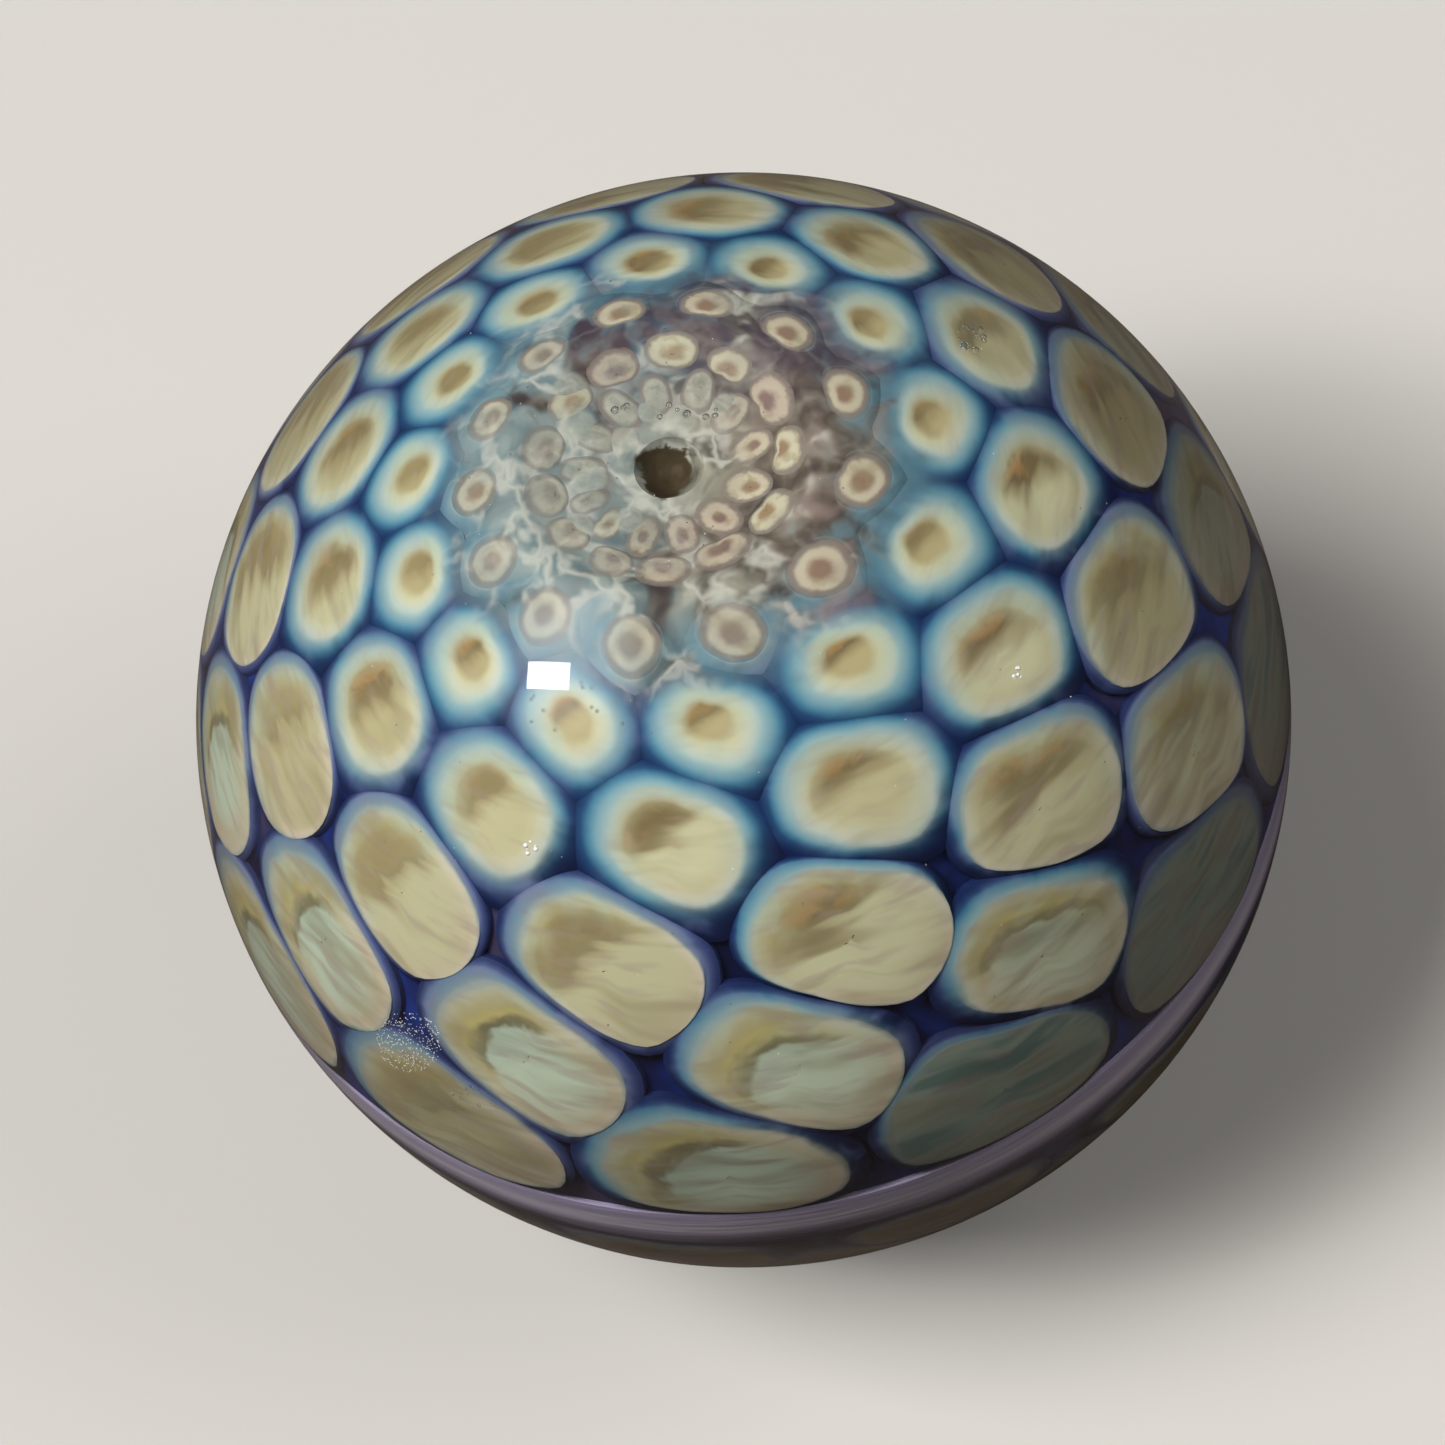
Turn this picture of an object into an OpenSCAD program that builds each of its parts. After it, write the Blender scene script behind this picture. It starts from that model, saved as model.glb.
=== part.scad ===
// Lampworked glass marble: rings of stacked dots under a clear casing, running into a funnel.
// Lengths are millimetres and angles are degrees. The origin is the centre of the ball, and +Z is
// the axis of the rings, funnel up. A place on the ball is given by its colatitude, measured down
// from the top, and its longitude, which is 0 facing -Y and grows towards +X.

/* [Ball] */
// Diameter of the ball
marble_d = 38; // [32:0.5:50]
// Thickness of the clear glass over the coloured layer
casing_t = 1.3; // [0.8:0.1:2.5]

/* [Dots] */
// Dots in each ring
dots_per_ring = 13; // [11:1:14]
// Ground glass left between one dot and the next
dot_gap = 0.25; // [0.2:0.05:0.5]
// Thickness of a dot at its edge
dot_t = 0.4; // [0.3:0.05:0.8]
// How firmly the neighbours press a dot, from nearly round to nearly six-sided
squareness = 8; // [4:1:10]
// How far each ring is turned back from the one above it
swirl_angle = 10.1; // [7:0.1:14]
// How far the dots bunch towards one side of the ball
bunching_angle = 6.8; // [0:0.2:8]
// How far the rings dip towards the front
ring_dip_angle = 1.5; // [0:0.25:2]

/* [Lilac band] */
// Width of the band
band_w = 2.7; // [1.5:0.1:3.2]
// Thickness of the band
band_t = 0.6; // [0.3:0.1:1.5]
// Colatitude of the middle of the band
band_at = 100; // [99:0.25:101]

/* [Funnel] */
// Colatitude of the funnel's lip
lip_at = 16.6; // [16:0.1:17.2]
// Depth of the funnel below its lip
funnel_depth = 1.3; // [0.6:0.1:2]
// Colatitude that the smoky glass around the funnel reaches
smoke_at = 24; // [22:0.5:26]
// Smoky glass left under the pit
smoke_floor_t = 1; // [0.5:0.1:2]
// Smoky glass left between one seed and the next
seed_gap = 0.35; // [0.2:0.05:0.45]
// Thickness of a seed at its edge
seed_t = 0.5; // [0.3:0.05:0.8]
// Diameter of the pit
pit_d = 2.2; // [1.6:0.1:2.5]
// Diameter of the pit's floor
pit_floor_d = 0.9; // [0.6:0.1:1.4]
// Depth of the pit
pit_depth = 0.9; // [0.5:0.1:1.6]
// Olive glass around the pit
pit_wall = 0.35; // [0.2:0.05:0.45]

/* [Hidden] */

$fn = 200;
dot_points = 12;
seed_points = 9;
past = 1;

// The rings from the funnel down: colatitude, then the shares of a dot inside its rim and its cream
rings = [[8.8, 1, 0.4],
         [13, 1, 0.4],
         [20.8, 0.84, 0.4],
         [28.8, 0.76, 0.4],
         [40.5, 0.84, 0.56],
         [54.7, 0.94, 0.76],
         [69.3, 0.93, 0.66],
         [84, 0.94, 0.7],
         [111, 0.93, 0.66],
         [121, 0.93, 0.66]];
none = -1;
whole = 0;
within_rim = 1;
heart = 2;
inner_seeds = 0;
outer_seeds = 1;
lip_seeds = 2;
above_band = 7;
below_band = 8;
last_ring = 9;
olive_rings = [3, 4, 5, 8, 9];
teal_rings = [6, 7];
dot_rings = concat(olive_rings, teal_rings);
first_turn = 334.5;
second_bunching_angle = 1.4;
bunched_at = 24;
second_bunched_at = 58;
dip_at = 345;
pattern_end_at = 128;

layer_r = marble_d / 2 - casing_t;
pitch = 360 / dots_per_ring;
lip_r = layer_r * sin(lip_at);
lip_z = layer_r * cos(lip_at);
dish_r = (lip_r * lip_r + funnel_depth * funnel_depth) / (2 * funnel_depth);
dish_z = lip_z - funnel_depth + dish_r;
pit_z = lip_z - funnel_depth - pit_depth;
pit_slope = (pit_d - pit_floor_d) / pit_depth;
smoke_r = layer_r * sin(smoke_at);
smoke_z = pit_z - smoke_floor_t;
band_half = band_w / 2 / layer_r * 180 / PI;
band_top_at = band_at - band_half;
band_bottom_at = band_at + band_half;

function total(list) = list * [for (item = list) 1];

// Where the dots of a ring stand
function turned(step) = pitch * step - bunching_angle * cos(pitch * step - bunched_at)
    - second_bunching_angle * cos(2 * pitch * step - second_bunched_at);
function longitude(ring, step) = first_turn - swirl_angle * ring + turned(step);
function dip(ring) = ring < lip_seeds || ring > above_band ? 0 : ring_dip_angle;
function colatitude(ring, step) = rings[ring][0] + dip(ring) * cos(longitude(ring, step) - dip_at);
function share(ring, part) = part == whole ? 1 : rings[ring][part];

function east(lon) = [cos(lon), sin(lon), 0];
function north(colat, lon) = [-cos(colat) * sin(lon), cos(colat) * cos(lon), sin(colat)];
function outward(colat, lon) = [sin(colat) * sin(lon), -sin(colat) * cos(lon), cos(colat)];
function dot_axis(ring, step) = outward(colatitude(ring, step), longitude(ring, step));
function between(ring, step, ring_b, step_b) = acos(dot_axis(ring, step) * dot_axis(ring_b, step_b));

// A dot has a flat floor, so deep below the crown of the layer that the dot's edge keeps dot_t
function half_span(ring, step) =
    max(between(ring, step, ring, step - 1), between(ring, step, ring, step + 1)) / 2;
function floor_depth(ring, step) = dot_t + layer_r * (1 - cos(half_span(ring, step)));

// A limit is a bearing in the dot's own plane and how far the dot may reach along it
function limit_to(ring, step, ring_b, step_b) =
    let (colat = colatitude(ring, step), lon = longitude(ring, step))
    let (there = dot_axis(ring_b, step_b), half = between(ring, step, ring_b, step_b) / 2)
    let (bearing = [east(lon) * there, north(colat, lon) * there])
    [bearing / norm(bearing),
     (layer_r - floor_depth(ring, step)) * tan(half) - dot_gap / 2 / cos(half)];
function limit_at(ring, step, edge_at) =
    let (away = edge_at - colatitude(ring, step))
    [[0, -sign(away)], (layer_r - floor_depth(ring, step)) * tan(abs(away)) - dot_gap];
function limits(ring, step) = concat(
    [limit_to(ring, step, ring, step - 1), limit_to(ring, step, ring, step + 1)],
    ring == lip_seeds ? [limit_at(ring, step, lip_at)]
    : ring == below_band ? [limit_at(ring, step, band_bottom_at)]
    : [limit_to(ring, step, ring - 1, step), limit_to(ring, step, ring - 1, step - 1)],
    ring == above_band ? [limit_at(ring, step, band_top_at)]
    : ring == last_ring ? [limit_at(ring, step, pattern_end_at)]
    : [limit_to(ring, step, ring + 1, step), limit_to(ring, step, ring + 1, step + 1)]);

// The outline is a soft hexagon: a smooth minimum of the reach that each limit leaves
function reach(limits, way) = pow(
    total([for (limit = limits) pow(max(way * limit[0], 0) / limit[1], squareness)]),
    -1 / squareness);
function outline(limits, points) = [for (i = [0 : points - 1])
    let (way = [cos(360 * i / points), sin(360 * i / points)]) way * reach(limits, way)];

// Seeds stand upright in the funnel, so their limits lie in the level plane
function seed_place(ring, step) = layer_r * sin(rings[ring][0])
    * [sin(longitude(ring, step)), -cos(longitude(ring, step))];
function seed_limit(here, there) =
    [(there - here) / norm(there - here), norm(there - here) / 2 - seed_gap / 2];
function seed_limits(ring, step) =
    let (here = seed_place(ring, step), away = here / norm(here))
    let (other = ring == inner_seeds ? outer_seeds : inner_seeds)
    let (other_step = ring == inner_seeds ? step + 1 : step - 1)
    concat([for (there = [seed_place(ring, step - 1), seed_place(ring, step + 1),
                          seed_place(other, step), seed_place(other, other_step)])
            seed_limit(here, there)],
        ring == inner_seeds ? [[-away, norm(here) - pit_d / 2 - pit_wall - seed_gap]]
        : [[away, lip_r - seed_gap - norm(here)]]);
function dish_height(r) = dish_z - sqrt(dish_r * dish_r - r * r);

// Everything inside the face that the coloured glass shares with the casing
module layer_form() {
    difference() {
        sphere(layer_r);
        translate([0, 0, dish_z]) sphere(dish_r);
        translate([0, 0, pit_z])
            cylinder(h = pit_depth + past, d1 = pit_floor_d, d2 = pit_d + past * pit_slope);
    }
}

// One glass of a dot in plan: what lies between two of its shares
module glass_shape(ring, shape, inner, outer) {
    difference() {
        polygon(shape * share(ring, outer));
        if (inner != none) polygon(shape * share(ring, inner));
    }
}

// Bars along the ball's radius, for the dots on the round of the layer
module dot_bars(ring_list, inner, outer) {
    for (ring = ring_list, step = [0 : dots_per_ring - 1]) {
        depth = floor_depth(ring, step);
        rotate([colatitude(ring, step), 0, longitude(ring, step)])
            translate([0, 0, layer_r - depth])
                linear_extrude(depth + past)
                    glass_shape(ring, outline(limits(ring, step), dot_points), inner, outer);
    }
}

// Upright bars, for the seeds on the floor of the funnel
module seed_bars(ring_list, inner, outer) {
    for (ring = ring_list, step = [0 : dots_per_ring - 1]) {
        here = seed_place(ring, step);
        bounds = seed_limits(ring, step);
        inner_edge = norm(here) - reach(bounds, -here / norm(here));
        floor_z = dish_height(inner_edge) - seed_t;
        translate([here[0], here[1], floor_z])
            linear_extrude(lip_z + past - floor_z)
                glass_shape(ring, outline(bounds, seed_points), inner, outer);
    }
}

module pit_bar() {
    translate([0, 0, smoke_z]) cylinder(h = lip_z - smoke_z, r = pit_d / 2 + pit_wall);
}

module smoke_bar() {
    translate([0, 0, smoke_z]) cylinder(h = layer_r + past - smoke_z, r = smoke_r);
}

module clear_casing() {
    color("lightcyan", 0.3)
        difference() {
            sphere(marble_d / 2);
            layer_form();
        }
}

module cobalt_ground() {
    color("midnightblue")
        difference() {
            layer_form();
            smoke_bar();
            dot_bars(dot_rings, none, whole);
            dot_bars([lip_seeds], none, within_rim);
            lilac_band();
        }
}

module turquoise_rims() {
    color("mediumturquoise")
        intersection() {
            sphere(layer_r);
            dot_bars(dot_rings, within_rim, whole);
        }
}

module cream_rings() {
    color("cornsilk")
        intersection() {
            sphere(layer_r);
            dot_bars(dot_rings, heart, within_rim);
        }
}

module olive_hearts() {
    color("darkkhaki")
        intersection() {
            sphere(layer_r);
            dot_bars(olive_rings, none, heart);
        }
}

module teal_hearts() {
    color("cadetblue")
        intersection() {
            sphere(layer_r);
            dot_bars(teal_rings, none, heart);
        }
}

// The band ends on cones from the centre of the ball, so its edges follow the layer's radius
module lilac_band() {
    color("thistle")
        rotate_extrude()
            intersection() {
                difference() {
                    circle(layer_r);
                    circle(layer_r - band_t);
                }
                polygon([[0, 0], for (at = [band_top_at, band_at, band_bottom_at])
                    marble_d * [sin(at), cos(at)]]);
            }
}

module smoke_funnel() {
    color("rosybrown")
        difference() {
            intersection() {
                layer_form();
                smoke_bar();
            }
            dot_bars([lip_seeds + 1], none, whole);
            dot_bars([lip_seeds], none, within_rim);
            seed_bars([inner_seeds, outer_seeds], none, whole);
            pit_bar();
        }
}

module rose_seeds() {
    color("mistyrose")
        intersection() {
            layer_form();
            union() {
                dot_bars([lip_seeds], heart, within_rim);
                seed_bars([outer_seeds], heart, whole);
                seed_bars([inner_seeds], none, whole);
            }
        }
}

module plum_eyes() {
    color("rosybrown")
        intersection() {
            layer_form();
            union() {
                dot_bars([lip_seeds], none, heart);
                seed_bars([outer_seeds], none, heart);
            }
        }
}

module olive_pit() {
    color("darkolivegreen")
        intersection() {
            layer_form();
            pit_bar();
        }
}

clear_casing();
cobalt_ground();
turquoise_rims();
cream_rings();
olive_hearts();
teal_hearts();
lilac_band();
smoke_funnel();
rose_seeds();
plum_eyes();
olive_pit();
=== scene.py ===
import math
import random
import bmesh
import bpy
from mathutils import Matrix, Vector


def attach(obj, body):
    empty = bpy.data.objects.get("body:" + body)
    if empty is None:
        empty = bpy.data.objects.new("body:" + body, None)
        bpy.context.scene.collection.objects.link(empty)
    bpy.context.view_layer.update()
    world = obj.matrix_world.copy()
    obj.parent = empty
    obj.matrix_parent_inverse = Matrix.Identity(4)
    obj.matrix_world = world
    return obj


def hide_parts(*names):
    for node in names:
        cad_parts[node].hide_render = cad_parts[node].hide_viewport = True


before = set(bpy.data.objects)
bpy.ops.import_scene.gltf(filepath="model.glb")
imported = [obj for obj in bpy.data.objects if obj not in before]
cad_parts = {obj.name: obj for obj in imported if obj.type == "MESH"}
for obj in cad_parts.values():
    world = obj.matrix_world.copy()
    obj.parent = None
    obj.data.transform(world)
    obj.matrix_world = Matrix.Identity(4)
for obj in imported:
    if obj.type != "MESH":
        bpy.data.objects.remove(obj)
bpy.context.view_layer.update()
print("frame loaded:", len(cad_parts), "nodes")

mm = 0.001
ball = {"radius": 19.0, "casing": 1.3}  # millimetres
layerRadius = ball["radius"] - ball["casing"]


# small helpers that every node tree uses
def connect(tree, socket, value):
    if isinstance(value, bpy.types.NodeSocket):
        tree.links.new(value, socket)
    elif value is not None:
        socket.default_value = value


def addNode(tree, kind, inputs=None, **settings):
    node = tree.nodes.new(kind)
    for name, value in settings.items():
        setattr(node, name, value)
    for key, value in (inputs or {}).items():
        connect(tree, node.inputs[key], value)
    return node


def calc(tree, operation, a, b=None, c=None, clamp=False):
    node = addNode(tree, "ShaderNodeMath", {0: a, 1: b, 2: c}, operation=operation, use_clamp=clamp)
    return node.outputs[0]


def calcVector(tree, operation, a, b=None, scale=None):
    node = addNode(tree, "ShaderNodeVectorMath", {0: a, 1: b, 3: scale}, operation=operation)
    return node.outputs["Value" if operation in ("DOT_PRODUCT", "LENGTH", "DISTANCE") else "Vector"]


def combine(tree, x=0.0, y=0.0, z=0.0):
    return addNode(tree, "ShaderNodeCombineXYZ", {0: x, 1: y, 2: z}).outputs[0]


def split(tree, vector):
    return addNode(tree, "ShaderNodeSeparateXYZ", {0: vector}).outputs


def addSockets(tree, inputs, outputs):
    kinds = {"geometry": "NodeSocketGeometry", "float": "NodeSocketFloat", "int": "NodeSocketInt",
             "colour": "NodeSocketColor", "vector": "NodeSocketVector", "material": "NodeSocketMaterial"}
    for name, kind in inputs.items():
        tree.interface.new_socket(name=name, in_out="INPUT", socket_type=kinds[kind])
    for name, kind in outputs.items():
        tree.interface.new_socket(name=name, in_out="OUTPUT", socket_type=kinds[kind])
    return tree.nodes.new("NodeGroupInput").outputs, tree.nodes.new("NodeGroupOutput").inputs


# where the dots stand: the same rule and values as the solid model
pattern = {
    "perRing": 13, "firstTurn": 334.5, "swirl": 10.1, "bunching": 6.8, "bunchedAt": 24,
    "secondBunching": 1.4, "secondBunchedAt": 58, "dip": 1.5, "dipAt": 345, "gap": 0.25, "edge": 0.4,
    "bandTop": 95.6, "bandBottom": 104.4, "endAt": 128, "lipAt": 16.6, "smokeAt": 24,
}
# colatitude of each ring, then the shares of a dot inside its rim and inside its cream
rings = [(8.8, 1, 0.4), (13, 1, 0.4), (20.8, 0.84, 0.4), (28.8, 0.76, 0.4), (40.5, 0.84, 0.56),
         (54.7, 0.94, 0.76), (69.3, 0.93, 0.66), (84, 0.94, 0.7), (111, 0.93, 0.66), (121, 0.93, 0.66)]
innerSeeds, outerSeeds, lipSeeds, aboveBand, belowBand, lastRing = 0, 1, 2, 7, 8, 9
steps = range(pattern["perRing"])
pitch = 360 / pattern["perRing"]


def longitude(ring, step):
    turn = pitch * step
    first = pattern["bunching"] * math.cos(math.radians(turn - pattern["bunchedAt"]))
    second = pattern["secondBunching"] * math.cos(math.radians(2 * turn - pattern["secondBunchedAt"]))
    return pattern["firstTurn"] - pattern["swirl"] * ring + turn - first - second


def colatitude(ring, step):
    dip = 0 if ring < lipSeeds or ring > aboveBand else pattern["dip"]
    return rings[ring][0] + dip * math.cos(math.radians(longitude(ring, step) - pattern["dipAt"]))


def outward(colat, lon):
    a, b = math.radians(colat), math.radians(lon)
    return Vector((math.sin(a) * math.sin(b), -math.sin(a) * math.cos(b), math.cos(a)))


def dotAxis(ring, step):
    return outward(colatitude(ring, step), longitude(ring, step))


def dotLimits(ring, step):
    # bearing in the dot's own plane and how far the dot may reach along it, in millimetres
    here = dotAxis(ring, step)
    east = Vector((0, 0, 1)).cross(here).normalized()
    north = here.cross(east)
    sideways = [dotAxis(ring, step + way) for way in (-1, 1)]
    halfSpan = max(here.angle(there) for there in sideways) / 2
    level = layerRadius * math.cos(halfSpan) - pattern["edge"]
    found = []

    def limitTo(there):
        half = here.angle(there) / 2
        bearing = Vector((east.dot(there), north.dot(there))).normalized()
        reach = level * math.tan(half) - pattern["gap"] / 2 / math.cos(half)
        found.append((bearing.x, bearing.y, reach))

    def limitAt(edge):
        away = edge - colatitude(ring, step)
        reach = level * math.tan(math.radians(abs(away))) - pattern["gap"]
        found.append((0, -1 if away > 0 else 1, reach))

    for there in sideways:
        limitTo(there)
    if ring in (lipSeeds, belowBand):
        limitAt(pattern["lipAt"] if ring == lipSeeds else pattern["bandBottom"])
    else:
        limitTo(dotAxis(ring - 1, step))
        limitTo(dotAxis(ring - 1, step - 1))
    if ring in (aboveBand, lastRing):
        limitAt(pattern["bandTop"] if ring == aboveBand else pattern["endAt"])
    else:
        limitTo(dotAxis(ring + 1, step))
        limitTo(dotAxis(ring + 1, step + 1))
    return found


# the funnel at the pole, in millimetres
funnel = {"depth": 1.3, "pitWidth": 2.2, "pitFloor": 0.9, "pitDepth": 0.9, "pitWall": 0.35,
          "seedGap": 0.35, "smokeFloor": 1.0}
lipRadius = layerRadius * math.sin(math.radians(pattern["lipAt"]))
lipHeight = layerRadius * math.cos(math.radians(pattern["lipAt"]))
dishRadius = (lipRadius ** 2 + funnel["depth"] ** 2) / (2 * funnel["depth"])
dishHeight = lipHeight - funnel["depth"] + dishRadius
pitBottom = lipHeight - funnel["depth"] - funnel["pitDepth"]
smokeRadius = layerRadius * math.sin(math.radians(pattern["smokeAt"]))
smokeBottom = pitBottom - funnel["smokeFloor"]


def seedPlace(ring, step):
    reach = layerRadius * math.sin(math.radians(rings[ring][0]))
    turn = math.radians(longitude(ring, step))
    return Vector((reach * math.sin(turn), -reach * math.cos(turn)))


def seedLimits(ring, step):
    here = seedPlace(ring, step)
    away = here.normalized()
    other, otherStep = (outerSeeds, step + 1) if ring == innerSeeds else (innerSeeds, step - 1)
    found = []
    for there in (seedPlace(ring, step - 1), seedPlace(ring, step + 1),
                  seedPlace(other, step), seedPlace(other, otherStep)):
        bearing = (there - here).normalized()
        found.append((bearing.x, bearing.y, (there - here).length / 2 - funnel["seedGap"] / 2))
    if ring == innerSeeds:
        room = here.length - funnel["pitWidth"] / 2 - funnel["pitWall"] - funnel["seedGap"]
        found.append((-away.x, -away.y, room))
    else:
        found.append((away.x, away.y, lipRadius - funnel["seedGap"] - here.length))
    return found


# one vertex for each dot, which carries what the tree and the materials need to know of it
def makeDotPoints(name, dotList):
    mesh = bpy.data.meshes.new(name)
    mesh.from_pydata([dot["centre"] for dot in dotList], [], [])
    for key in ("centre", "shares", "shift", "lean", "paint", "cast", "oval", "ovalTwo", *(f"limit{i}" for i in range(6))):
        layer = mesh.attributes.new(key, "FLOAT_VECTOR", "POINT")
        layer.data.foreach_set("vector", [n for dot in dotList for n in dot[key]])
    piece = bpy.data.objects.new(name, mesh)
    bpy.context.scene.collection.objects.link(piece)
    return piece


def fillLimits(found, squareness=8):
    # also the oval that fills the same cell: the low waves of its outline
    turns = [2 * math.pi * i / 72 for i in range(72)]
    reaches = [sum((max(math.cos(a) * x + math.sin(a) * y, 0) / far) ** squareness
                   for x, y, far in found) ** (-1 / squareness) for a in turns]

    def wave(shape, count):
        return sum(r * shape(count * a) for r, a in zip(reaches, turns)) / 36

    found = found + [(1, 0, 1000)] * (6 - len(found))  # the spare ones are out of reach
    return {"oval": (sum(reaches) / 72, wave(math.cos, 1), wave(math.sin, 1)),
            "ovalTwo": (wave(math.cos, 2), wave(math.sin, 2), 0),
            **{f"limit{i}": limit for i, limit in enumerate(found)}}


# the camera's own directions, in the model's frame
viewOut = Vector((0, -0.5226, 0.8526))  # from the ball to the camera
viewUp = Vector((0.2870, 0.8167, 0.5006))
viewRight = Vector((0.9579, -0.2447, -0.150))
# this way, towards the lower right as the camera sees it, is also the side away from the lamps: the dots' painted
# light and painted shade are set out along it
slideAndShadeWay = viewRight * 0.6 - viewUp * 0.8  # the side that the stacked glass slid to

# by ring. paint: how brown the painted shade on the upper side is, how pale the painted light on the lower side is,
# how much of a pool it holds. cast: how dark its painted shade is, how green-blue its halo is. near: how ivory
# the cream ring is. slide: how far the glass slid off its rim
ringLook = {
    2: {"paint": (0.5, 0.3, 0.0), "cast": (0.0, 0.6), "near": 0.6, "slide": 0.05},
    3: {"paint": (0.9, 0.1, 0.0), "cast": (0.0, 1.0), "near": 1.0, "slide": 0.04},
    4: {"paint": (0.8, 0.6, 0.0), "cast": (0.0, 0.8), "near": 0.75, "slide": 0.09},
    5: {"paint": (0.7, 0.8, 0.0), "cast": (0.0, 0.35), "near": 0.2, "slide": 0.2},
    6: {"paint": (0.6, 0.6, 0.85), "cast": (0.0, 0.3), "near": 0.1, "slide": 0.2},
    7: {"paint": (0.5, 0.5, 0.9), "cast": (0.0, 0.5), "near": 0.0, "slide": 0.2},
    8: {"paint": (0.5, 0.3, 0.0), "cast": (0.55, 0.3), "near": 0.0, "slide": 0.08},
    9: {"paint": (0.5, 0.3, 0.0), "cast": (0.55, 0.3), "near": 0.0, "slide": 0.08},
}
# cells that differ from the rest of their ring: ring and step, then the same paint, painted-shade dimness, halo
cellLook = {
    (4, 0): ((0.9, 0.3, 0.0), 0.0, 0.6), (4, 1): ((0.6, 0.6, 0.0), 0.0, 0.7),
    (4, 2): ((1.0, 1.0, 0.0), 0.0, 0.9), (4, 3): ((0.9, 0.5, 0.0), 0.0, 0.95),
    (4, 4): ((1.1, 1.3, 0.0), 0.0, 0.9), (4, 5): ((1.2, 1.0, 0.0), 0.0, 0.8),
    (4, 6): ((1.0, 0.3, 0.1), 0.05, 0.6),
    (5, 0): ((0.4, 0.5, 0.0), 0.0, 0.2), (5, 1): ((0.35, 0.8, 0.0), 0.0, 0.2),
    (5, 2): ((0.8, 0.8, 0.0), 0.0, 0.3), (5, 3): ((1.2, 1.2, 0.0), 0.0, 0.9),
    (5, 4): ((1.3, 0.8, 0.0), 0.0, 0.7), (5, 5): ((0.8, 0.4, 0.0), 0.05, 0.2),
    (5, 6): ((1.2, 0.1, 0.0), 0.25, 0.4), (5, 7): ((0.8, 0.3, 0.0), 0.2, 0.2),
    (6, 1): ((0.6, 0.6, 0.95), 0.0, 0.3), (6, 2): ((0.5, 0.7, 0.95), 0.0, 0.2),
    (6, 3): ((0.4, 0.9, 0.85), 0.0, 0.6), (6, 4): ((0.8, 0.8, 0.6), 0.0, 0.8),
    (6, 5): ((0.7, 0.8, 0.15), 0.05, 0.3), (6, 6): ((0.8, 0.2, 0.5), 0.5, 0.3),
    (6, 7): ((0.6, 0.3, 0.5), 0.4, 0.3),
    (7, 1): ((0.4, 0.4, 0.8), 0.0, 0.2), (7, 2): ((0.4, 0.2, 0.1), 0.1, 0.4),
    (7, 3): ((0.4, 0.5, 1.0), 0.1, 0.8), (7, 4): ((0.1, 0.1, 1.7), 0.35, 0.7),
    (7, 5): ((0.1, 0.1, 1.8), 0.55, 0.3), (7, 6): ((0.2, 0.1, 1.5), 0.6, 0.2),
}
draw = random.Random(38)


def leanOf(centre):
    # the lean as seen in the dot's own plane, east and north
    east = Vector((0, 0, 1)).cross(centre).normalized()
    return Vector((slideAndShadeWay.dot(east), slideAndShadeWay.dot(centre.cross(east)), 0))


dots = []
for ring in range(lipSeeds, lastRing + 1):
    look = ringLook[ring]
    for step in steps:
        vary = draw.uniform(0.6, 1.2)
        paint, shadeDim, cool = cellLook.get((ring, step), (
            (look["paint"][0] * vary, look["paint"][1] * draw.uniform(0.6, 1.2), look["paint"][2]),
            look["cast"][0], look["cast"][1] * draw.uniform(0.7, 1.2)))
        centre = dotAxis(ring, step)
        lean = leanOf(centre)
        slide = lean * look["slide"]
        shares = (0, 0.7, 0.34) if ring == lipSeeds else rings[ring]
        dots.append({
            "ring": ring, "step": step, "centre": centre, "lean": (lean.x, lean.y, look["near"]),
            "shares": (shares[2] + draw.uniform(-0.03, 0.03), shares[1] + draw.uniform(-0.02, 0.02), 0),
            "shift": (slide.x + draw.uniform(-0.04, 0.04), slide.y + draw.uniform(-0.04, 0.04), 0),
            "paint": paint, "cast": (shadeDim, cool, ring * 13 + step + draw.random()),
            **fillLimits(dotLimits(ring, step)),
        })
seeds = []
for ring in (innerSeeds, outerSeeds):
    for step in steps:
        place = seedPlace(ring, step)
        lean = leanOf(dotAxis(ring, step))
        inward = -place.normalized() * (0.22 if ring == outerSeeds else -0.1)
        upLeft = (place.y - 0.5 * place.x) / place.length  # the milky side
        seeds.append({
            "ring": ring, "step": step, "centre": (place.x, place.y, 0), "lean": (lean.x, lean.y, 0.5),
            "shares": (draw.uniform(0.4, 0.6), draw.uniform(1.1, 1.4) - 0.15 * ring, 0),
            "shift": (inward.x + draw.uniform(-0.15, 0.15), inward.y + draw.uniform(-0.15, 0.15), 0),
            "paint": (draw.random(), draw.random(),
                      (0.85 if ring == innerSeeds else 0.3) * min(max(upLeft + 0.4, 0), 1)),
            "cast": (0.0, 0.0, ring * 13 + step + draw.random()),
            **fillLimits(seedLimits(ring, step)),
        })
# milky blobs on the funnel floor: where, and how far they reach, in millimetres
blobs = []
for x, y, reach in ((0.8, 1.5, 0.6), (-1.1, 1.4, 0.55), (2.3, 1.4, 0.6), (-2.4, 2.3, 0.75), (-2.3, 3.6, 0.7),
                    (-2.5, 0.4, 0.7), (-1.7, -1.5, 0.6), (-3.3, -1.3, 0.6), (-0.1, 2.1, 0.45)):
    turn = [math.radians(60 * i) for i in range(6)]
    blobs.append({"centre": (x, y, 0), "lean": (0, 0, 0), "shares": (0.5, 1.0, 0), "shift": (0, 0, 0),
                  "paint": (draw.random(), 0, 0), "cast": (0, 0, x + 10 * y),
                  **fillLimits([(math.cos(a), math.sin(a), reach) for a in turn])})
print("pattern laid out:", len(dots), "dots and", len(seeds), "seeds")


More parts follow.
